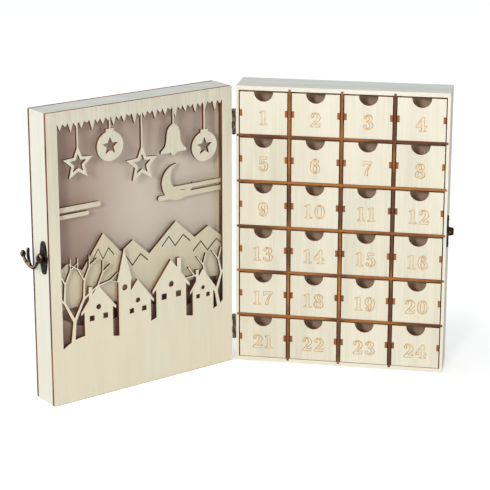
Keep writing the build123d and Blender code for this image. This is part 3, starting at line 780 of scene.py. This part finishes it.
def add_straight_bar(bm, first, second, thick):
    """Round bar between two points of the XY plane."""
    start, end = Vector((*first, 0.0)), Vector((*second, 0.0))
    turn = UP.rotation_difference(end - start).to_matrix().to_4x4()
    bmesh.ops.create_cone(
        bm, cap_ends=True, cap_tris=False, segments=BAR_SIDES, radius1=thick, radius2=thick,
        depth=(end - start).length, matrix=Matrix.Translation((start + end) / 2) @ turn)


def add_ball(bm, place, radius, stretch=1.0, angle=0.0):
    """Ball in the XY plane, drawn out square to an angle in degrees."""
    turn = Matrix.Rotation(math.radians(angle), 4, "Z")
    drawn = Matrix.Diagonal((1.0, stretch, 1.0, 1.0))
    seat = Matrix.Translation((*place, 0.0)) @ turn @ drawn
    bmesh.ops.create_uvsphere(bm, u_segments=20, v_segments=12, radius=radius, matrix=seat)


def around(centre, radius, angle):
    """Point on a circle of the XY plane at an angle in degrees."""
    turn = math.radians(angle)
    return centre[0] + radius * math.cos(turn), centre[1] + radius * math.sin(turn)


# Numerals

def contour_points(text):
    """Kind and place of each point of a contour."""
    words = text.split()
    return [(words[i], float(words[i + 1]), float(words[i + 2])) for i in range(0, len(words), 3)]


def figure_contours(figure):
    """Contours of one figure. A nine is a six turned half round."""
    if figure != "9":
        return [contour_points(text) for text in CONTOURS[figure]]
    turned = [contour_points(text) for text in CONTOURS["6"]]
    return [[(kind, TURNED[0] - u, TURNED[1] - v) for kind, u, v in contour] for contour in turned]


def numeral_mesh(text, sizes):
    """Burnt outline of a numeral in the XY plane, centred on its middle."""
    curve = bpy.data.curves.new("numeral_line", "CURVE")
    curve.dimensions = "3D"
    curve.resolution_u = 4
    curve.bevel_resolution = 1
    curve.bevel_depth = sizes.line / 2
    start = 0.0
    for figure in text:
        contours = figure_contours(figure)
        left = min(u for contour in contours for _, u, _ in contour)
        right = max(u for contour in contours for _, u, _ in contour)
        for contour in contours:
            spline = curve.splines.new("BEZIER")
            spline.bezier_points.add(len(contour) - 1)
            spline.use_cyclic_u = True
            for point, (kind, u, v) in zip(spline.bezier_points, contour):
                across = start + (u - left) * sizes.stretch
                point.co = (across * sizes.height, (v - 0.5) * sizes.height, 0.0)
                handle = "AUTO" if kind == "s" else "VECTOR"
                point.handle_left_type = handle
                point.handle_right_type = handle
        start += (right - left) * sizes.stretch + sizes.gap
    holder = bpy.data.objects.new("numeral_line", curve)
    bpy.context.scene.collection.objects.link(holder)
    bpy.context.view_layer.update()
    mesh = bpy.data.meshes.new_from_object(holder.evaluated_get(bpy.context.evaluated_depsgraph_get()))
    bpy.data.objects.remove(holder)
    bpy.data.curves.remove(curve)
    mesh.transform(Matrix.Translation((-(start - sizes.gap) * sizes.height / 2, 0.0, 0.0)))
    return mesh


# Operators

class CALENDAR_OT_case(bpy.types.Operator):
    """Dresses the outer boards of the drawer case in pale ply"""

    bl_idname = "calendar.case"
    bl_label = "Case boards"

    def execute(self, context):
        level = case_ply("case_ply_level", "X")
        upright = case_ply("case_ply_upright", "Z")
        for node in ("case_top", "case_bottom"):
            dress(node, level)
        for node in ("case_left_wall", "case_right_wall", "case_back_panel"):
            dress(node, upright)
        return {"FINISHED"}


class CALENDAR_OT_partitions(bpy.types.Operator):
    """Dresses the shelves and dividers, whose front edges are burnt by the laser"""

    bl_idname = "calendar.partitions"
    bl_label = "Shelves and dividers"

    def execute(self, context):
        for index, tone in enumerate(SHELF_TONES, 1):
            node = f"shelf_{index}"
            dress(node, partition_ply(f"{node}_ply", "X", (0, 0, 1), index * SHELF_STEP, tone))
        for index, tone in enumerate(DIVIDER_TONES, 1):
            node = f"divider_{index}"
            dress(node, partition_ply(f"{node}_ply", "Z", (1, 0, 0), index * DIVIDER_STEP, tone))
        return {"FINISHED"}


class CALENDAR_OT_drawers(bpy.types.Operator):
    """Dresses the drawers, with burnt tab ends and edges"""

    bl_idname = "calendar.drawers"
    bl_label = "Drawers"

    def execute(self, context):
        material = drawer_ply("drawer_ply")
        for node in DRAWERS:
            dress(node, material)
        return {"FINISHED"}


class CALENDAR_OT_numerals(bpy.types.Operator):
    """Burns the numerals into the drawer fronts"""

    bl_idname = "calendar.numerals"
    bl_label = "Numerals"

    def execute(self, context):
        sizes = context.scene.calendar_numerals
        material = burnt_line("burnt_numeral", tuple(sizes.tone))
        flat = Matrix.Diagonal((1.0, 1.0, 2 * sizes.proud / sizes.line, 1.0))
        stand = Matrix.Rotation(math.radians(90.0), 4, "X")
        for node in DRAWERS:
            number = int(node.split("_")[1])
            low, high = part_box(node)
            middle = Vector(((low.x + high.x) / 2, low.y, high.z - sizes.place * (high.z - low.z)))
            mesh = numeral_mesh(str(number), sizes)
            mesh.transform(Matrix.Translation(middle) @ stand @ flat)
            link_piece(mesh, f"numeral_{number:02d}", material, node)
        return {"FINISHED"}


class CALENDAR_OT_cover(bpy.types.Operator):
    """Dresses the cover's rails, spacers and back panel"""

    bl_idname = "calendar.cover"
    bl_label = "Cover body"

    def execute(self, context):
        wood = context.scene.calendar_wood
        upright = rail_ply("rail_ply_upright", "Z")
        level = rail_ply("rail_ply_level", "X")
        for node in ("cover_hinge_rail", "cover_latch_rail"):
            dress(node, upright)
        for node in ("cover_top_rail", "cover_bottom_rail"):
            dress(node, level)
        strip = spacer_ply("spacer_ply")
        for node in ("front_spacers", "rear_spacers"):
            dress(node, strip)
        node = "cover_back_panel"
        dress(node, panel_ply("back_panel_ply", node, tuple(wood.case), BACK_START))
        return {"FINISHED"}


class CALENDAR_OT_picture(bpy.types.Operator):
    """Dresses the pierced front panel, the layer behind it and the backing"""

    bl_idname = "calendar.picture"
    bl_label = "Layered picture"

    def execute(self, context):
        wood = context.scene.calendar_wood
        node = "cover_front_panel"
        dress(node, panel_ply("picture_ply", node, tuple(wood.picture), PICTURE_START))
        dress("scene_layer", layer_ply("layer_ply"))
        dress("backing_sheet", backing_card("backing_card"))
        return {"FINISHED"}


class CALENDAR_OT_hinges(bpy.types.Operator):
    """Dresses the hinges and nails their leaves down"""

    bl_idname = "calendar.hinges"
    bl_label = "Hinges"

    def execute(self, context):
        metal = context.scene.calendar_metal
        material = fitting("hinge_brass", metal.brass, metal.tarnish, cover=0.46, bump=0.25)
        for level in ("lower", "upper"):
            for part in ("case_leaf", "cover_leaf", "pin"):
                dress(f"hinge_{level}_{part}", material)
            low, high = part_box(f"hinge_{level}_case_leaf")
            for side, body in ((-1, "case"), (1, "cover")):
                bm = bmesh.new()
                for height in (low.z + metal.nail_margin, high.z - metal.nail_margin):
                    out_x = HINGE_PLACE.x - side * metal.leaf_stand
                    place = Vector((out_x, HINGE_PLACE.y + metal.nail_back, height))
                    add_dome(bm, place, Vector((side, 0.0, 0.0)), metal.nail_radius, metal.nail_rise)
                if body == "cover":
                    bmesh.ops.transform(bm, matrix=FOLDED, verts=bm.verts)
                finish_piece(bm, f"hinge_nails_{level}_{body}", material, body)
        return {"FINISHED"}


class CALENDAR_OT_latch(bpy.types.Operator):
    """Makes the cast hook and its nails, and dresses the latch"""

    bl_idname = "calendar.latch"
    bl_label = "Latch"

    def execute(self, context):
        metal = context.scene.calendar_metal
        sizes = context.scene.calendar_hook
        material = fitting("latch_bronze", metal.bronze, metal.patina, cover=0.54, bump=0.3)
        for node in ("latch_plate", "latch_rivet", "catch_plate"):
            dress(node, material)
        # Worn side of the hook: out from the cover for wear, lifted up to paint highlights where the light
        # falls.
        rubbed_and_lit = (LATCH_OUT + UP * metal.rub_lift).normalized()
        cast = fitting("hook_bronze", metal.bronze, metal.patina, cover=0.56, bump=0.25, rubbed_and_lit=rubbed_and_lit)
        self.make_hook(cast, sizes)
        self.make_nails(material, metal, sizes)
        return {"FINISHED"}

    def make_hook(self, material, sizes):
        """Round-section hook in the place of its flat solid, its bars run together as a casting."""
        lean = math.degrees(math.asin(sizes.slot / sizes.reach))
        arm_turn = -sizes.droop - lean
        arm = math.sqrt(sizes.reach ** 2 - sizes.slot ** 2)
        middle = (0.0, 0.0)
        slot = around(middle, sizes.reach, -sizes.droop)
        tip = sizes.reach + sizes.slot
        grip = (slot[0], slot[1] - sizes.slot + sizes.handle)
        curl_start = sizes.handle_turn - 90.0
        curl = around(grip, sizes.handle - sizes.curl, curl_start)
        bm = bmesh.new()
        add_ring(bm, sizes.eye, sizes.wire)
        add_straight_bar(bm, around(middle, sizes.eye, arm_turn), around(middle, arm, arm_turn), sizes.wire)
        add_bent_bar(bm, slot, sizes.slot, arm_turn - 90.0, 90.0 + lean, sizes.wire)
        add_bent_bar(bm, middle, tip, -sizes.droop, sizes.claw, sizes.wire)
        add_ball(bm, around(middle, tip, sizes.claw - sizes.droop), sizes.wire)
        add_bent_bar(bm, grip, sizes.handle, -90.0, sizes.handle_turn, sizes.wire)
        add_bent_bar(bm, curl, sizes.curl, curl_start, sizes.curl_turn, sizes.wire)
        end_turn = curl_start + sizes.curl_turn
        add_ball(bm, around(curl, sizes.curl, end_turn), sizes.drop, sizes.stretch, end_turn)
        side = LATCH_OUT.cross(UP)
        place = Matrix((side, UP, -LATCH_OUT)).transposed().to_4x4()
        place.translation = LATCH_PLACE
        bmesh.ops.transform(bm, matrix=place, verts=bm.verts)
        hook = finish_piece(bm, "bronze_hook", material, "latch_hook")
        cast = hook.modifiers.new("Cast", "REMESH")
        cast.mode = "VOXEL"
        cast.voxel_size = sizes.grit
        cast.use_smooth_shade = True
        ease = hook.modifiers.new("Ease", "SMOOTH")
        ease.factor = 0.5
        ease.iterations = 6
        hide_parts("latch_hook")

    def make_nails(self, material, metal, sizes):
        """Two nails through each plate."""
        low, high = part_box("catch_plate")
        rise = (high.z - low.z) / 2 - sizes.lobe
        middle = (low.z + high.z) / 2
        bm = bmesh.new()
        for step in (-rise, rise):
            place = Vector((low.x + sizes.plate, (low.y + high.y) / 2, middle + step))
            add_dome(bm, place, Vector((1.0, 0.0, 0.0)), metal.nail_radius, metal.nail_rise)
        finish_piece(bm, "catch_nails", material, "case")
        bm = bmesh.new()
        for step in (-rise, rise):
            place = LATCH_PLACE - LATCH_OUT * (sizes.stand - sizes.plate) + UP * step
            add_dome(bm, place, LATCH_OUT, metal.nail_radius, metal.nail_rise)
        finish_piece(bm, "plate_nails", material, "cover")


class CALENDAR_OT_stage(bpy.types.Operator):
    """Sets the floor, the lamps, the surroundings and the camera"""

    bl_idname = "calendar.stage"
    bl_label = "Stage"

    def execute(self, context):
        stage = context.scene.calendar_stage
        self.make_floor(stage)
        self.make_world(context.scene, stage)
        for name, (place, size, tint) in LAMPS.items():
            self.make_lamp(f"{name}_lamp", place, size, getattr(stage, name), tint)
        self.make_camera(context.scene, stage)
        context.scene.view_settings.view_transform = "Standard"
        return {"FINISHED"}

    def seen(self, tree):
        """One for what the camera, a mirror or glass sees."""
        path = add_node(tree, "ShaderNodeLightPath").outputs
        direct = math_node(tree, "ADD", path["Is Camera Ray"], path["Is Glossy Ray"])
        return math_node(tree, "ADD", direct, path["Is Transmission Ray"], clamp=True)

    def make_floor(self, stage):
        """White floor that keeps the shadow and is lifted to white for the camera."""
        bm = bmesh.new()
        bmesh.ops.create_grid(bm, x_segments=1, y_segments=1, size=stage.floor / 2)
        mesh = bpy.data.meshes.new("floor")
        bm.to_mesh(mesh)
        bm.free()
        floor = bpy.data.objects.new("floor", mesh)
        floor.location.z = -FLOOR_DROP
        bpy.context.scene.collection.objects.link(floor)
        material = bpy.data.materials.new("floor_white")
        material.use_nodes = True
        tree = material.node_tree
        tree.nodes.clear()
        diffuse = add_node(tree, "ShaderNodeBsdfDiffuse", {"Color": FLOOR_GREY})
        place = add_node(tree, "ShaderNodeTexCoord").outputs["Object"]
        away = add_node(tree, "ShaderNodeVectorMath", {0: place, 1: LIFT_MIDDLE}, operation="DISTANCE")
        lift = remap(tree, away.outputs["Value"], *LIFT_SPAN, stage.lift_near, stage.lift_far)
        strength = math_node(tree, "MULTIPLY", self.seen(tree), lift)
        glow = add_node(tree, "ShaderNodeEmission", {"Color": WHITE, "Strength": strength})
        both = add_node(tree, "ShaderNodeAddShader", {0: diffuse.outputs[0], 1: glow.outputs[0]})
        add_node(tree, "ShaderNodeOutputMaterial", {"Surface": both.outputs[0]})
        mesh.materials.append(material)

    def make_world(self, scene, stage):
        """Soft light that is weaker from the right, and plain white where the camera looks past the floor."""
        world = bpy.data.worlds.new("surroundings")
        world.use_nodes = True
        tree = world.node_tree
        tree.nodes.clear()
        rightward = split(tree, add_node(tree, "ShaderNodeTexCoord").outputs["Generated"])[0]
        strength = remap(tree, rightward, *SKY_SPAN, stage.ambient, stage.ambient * stage.right_share)
        light = add_node(tree, "ShaderNodeBackground", {"Color": SKY, "Strength": strength}).outputs[0]
        white = add_node(tree, "ShaderNodeBackground", {"Color": WHITE, "Strength": 1.0}).outputs[0]
        mix = add_node(tree, "ShaderNodeMixShader", {0: self.seen(tree), 1: light, 2: white})
        add_node(tree, "ShaderNodeOutputWorld", {"Surface": mix.outputs[0]})
        scene.world = world

    def make_lamp(self, name, place, size, power, tint):
        """Large soft lamp that looks at the object's middle."""
        lamp = bpy.data.lights.new(name, "AREA")
        lamp.shape = "DISK"
        lamp.size = size
        lamp.energy = power
        lamp.color = tint
        holder = bpy.data.objects.new(name, lamp)
        holder.location = place
        holder.rotation_euler = (LAMP_AIM - holder.location).to_track_quat("-Z", "Y").to_euler()
        bpy.context.scene.collection.objects.link(holder)

    def make_camera(self, scene, stage):
        """Camera at the photograph's place, framed for a square picture."""
        camera = bpy.data.cameras.new("camera")
        camera.lens = stage.lens
        camera.sensor_width = SENSOR
        camera.shift_y = stage.shift
        camera.clip_end = FAR_CLIP
        holder = bpy.data.objects.new("camera", camera)
        holder.location = CAMERA_PLACE
        yaw, pitch = math.radians(stage.yaw), math.radians(stage.pitch)
        ahead = Vector((math.sin(yaw) * math.cos(pitch), math.cos(yaw) * math.cos(pitch), -math.sin(pitch)))
        holder.rotation_euler = ahead.to_track_quat("-Z", "Y").to_euler()
        scene.collection.objects.link(holder)
        scene.camera = holder


OPERATORS = (
    CALENDAR_OT_case,
    CALENDAR_OT_partitions,
    CALENDAR_OT_drawers,
    CALENDAR_OT_numerals,
    CALENDAR_OT_cover,
    CALENDAR_OT_picture,
    CALENDAR_OT_hinges,
    CALENDAR_OT_latch,
    CALENDAR_OT_stage,
)

GROUPS = {
    "calendar_wood": CalendarWood,
    "calendar_numerals": CalendarNumerals,
    "calendar_metal": CalendarMetal,
    "calendar_hook": CalendarHook,
    "calendar_stage": CalendarStage,
}


class CALENDAR_PT_steps(bpy.types.Panel):
    """Lists the steps that dress the calendar"""

    bl_idname = "CALENDAR_PT_steps"
    bl_label = "Advent calendar"
    bl_space_type = "VIEW_3D"
    bl_region_type = "UI"
    bl_category = "Calendar"

    def draw(self, context):
        for step in OPERATORS:
            self.layout.operator(step.bl_idname)
        for name, group in GROUPS.items():
            box = self.layout.box()
            for key in group.__annotations__:
                box.prop(getattr(context.scene, name), key)


def register():
    """Adds the properties, the steps and the panel to Blender."""
    for name, group in GROUPS.items():
        bpy.utils.register_class(group)
        setattr(bpy.types.Scene, name, PointerProperty(type=group))
    for step in OPERATORS:
        bpy.utils.register_class(step)
    bpy.utils.register_class(CALENDAR_PT_steps)


def unregister():
    """Takes the panel, the steps and the properties away again."""
    bpy.utils.unregister_class(CALENDAR_PT_steps)
    for step in reversed(OPERATORS):
        bpy.utils.unregister_class(step)
    for name, group in reversed(GROUPS.items()):
        delattr(bpy.types.Scene, name)
        bpy.utils.unregister_class(group)


def main():
    """Registers the steps and runs them in order."""
    register()
    bpy.ops.calendar.case()
    bpy.ops.calendar.partitions()
    bpy.ops.calendar.drawers()
    bpy.ops.calendar.numerals()
    bpy.ops.calendar.cover()
    bpy.ops.calendar.picture()
    bpy.ops.calendar.hinges()
    bpy.ops.calendar.latch()
    bpy.ops.calendar.stage()
    bpy.context.view_layer.update()


if __name__ == "__main__":
    main()
